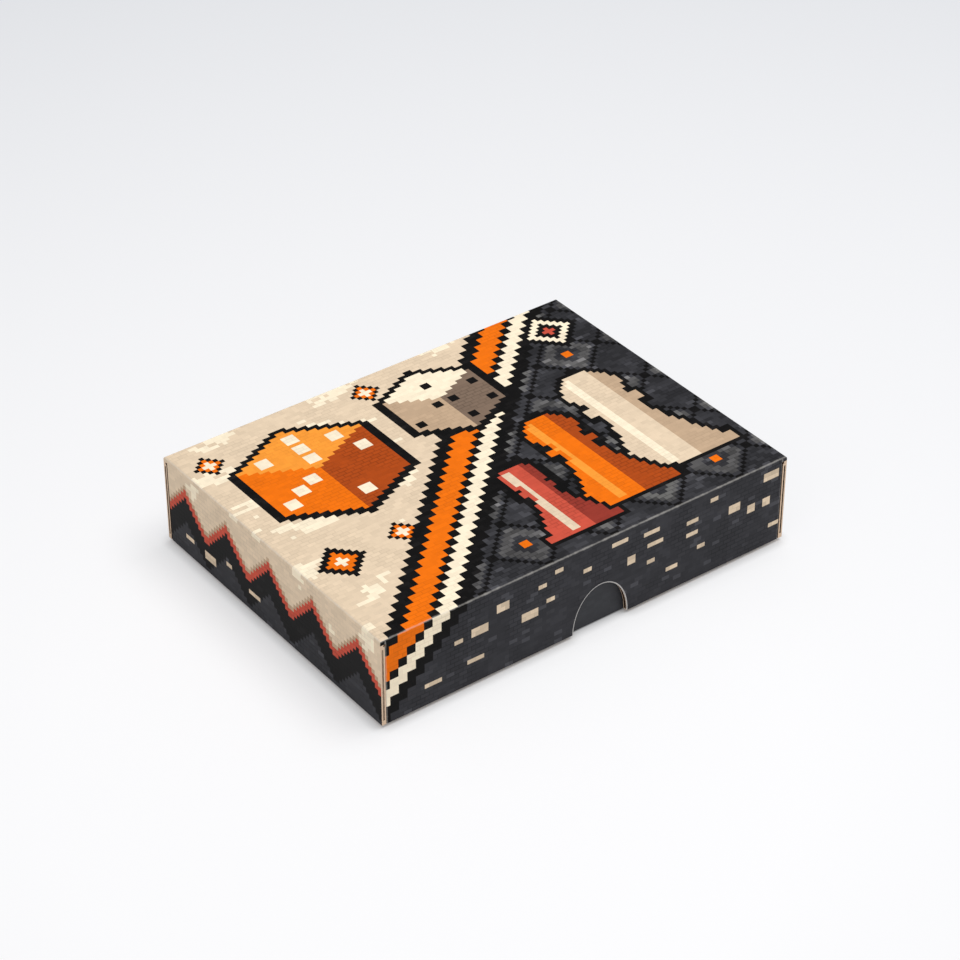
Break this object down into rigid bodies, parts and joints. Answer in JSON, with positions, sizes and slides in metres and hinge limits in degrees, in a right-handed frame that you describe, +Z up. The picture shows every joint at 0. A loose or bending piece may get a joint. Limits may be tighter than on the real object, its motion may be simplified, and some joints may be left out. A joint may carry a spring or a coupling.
{
  "type": "board game box",
  "caption": "Small game box of printed corrugated board: a lift-off lid with a thumb notch over a tray that holds a folding board, cards, dice, pawns and rules.",
  "frame": {"origin": "middle of the box's underside", "axes": "+X along the length, to the right seen from the notched front; +Y to the back; +Z up"},
  "size_m": [0.2, 0.15, 0.0415],
  "materials": {
    "lid_print": "printed, satin",
    "kraft_core": "raw brown paper",
    "base_print": "printed dark, satin",
    "kraft_card": "raw kraft card",
    "game_panel": "printed, satin",
    "hinge_cloth": "book cloth",
    "rules_print": "printed paper",
    "page_paper": "white paper",
    "card_back_orange": "coated card",
    "card_back_dark": "coated card",
    "band_paper": "white paper",
    "wood_orange": "stained wood",
    "wood_red": "stained wood",
    "wood_cream": "stained wood",
    "wood_dark": "stained wood",
    "wood_grey": "stained wood",
    "wood_plain": "oiled wood",
    "die_light": "polished",
    "die_dark": "polished",
    "token_card": "punched, printed card"
  },
  "bodies": {
    "base": {"base_board": "base_print", "insert_tray": "kraft_card", "insert_cross_divider": "kraft_card", "insert_short_divider": "kraft_card", "game_board_lower": "game_panel", "game_board_upper": "game_panel", "game_board_spine": "hinge_cloth", "rules_cover": "rules_print", "rules_pages": "page_paper", "card_deck_lower": "card_back_orange", "card_band_lower": "band_paper", "card_deck_upper": "card_back_dark", "card_band_upper": "band_paper", "car_pawn_1": "wood_orange", "car_pawn_2": "wood_red", "car_pawn_3": "wood_cream", "car_pawn_4": "wood_dark", "car_pawn_5": "wood_grey", "car_pawn_6": "wood_plain", "die_light": "die_light", "die_dark": "die_dark", "token_stack_1": "token_card", "token_stack_2": "token_card"},
    "lid": {"lid_board": "lid_print", "lid_fluting": "kraft_core"}
  },
  "joints": [
    {"name": "lid_lift", "type": "slide", "parent": "base", "child": "lid", "axis": [0, 0, 1], "range_m": [0, 0.12]}
  ]
}
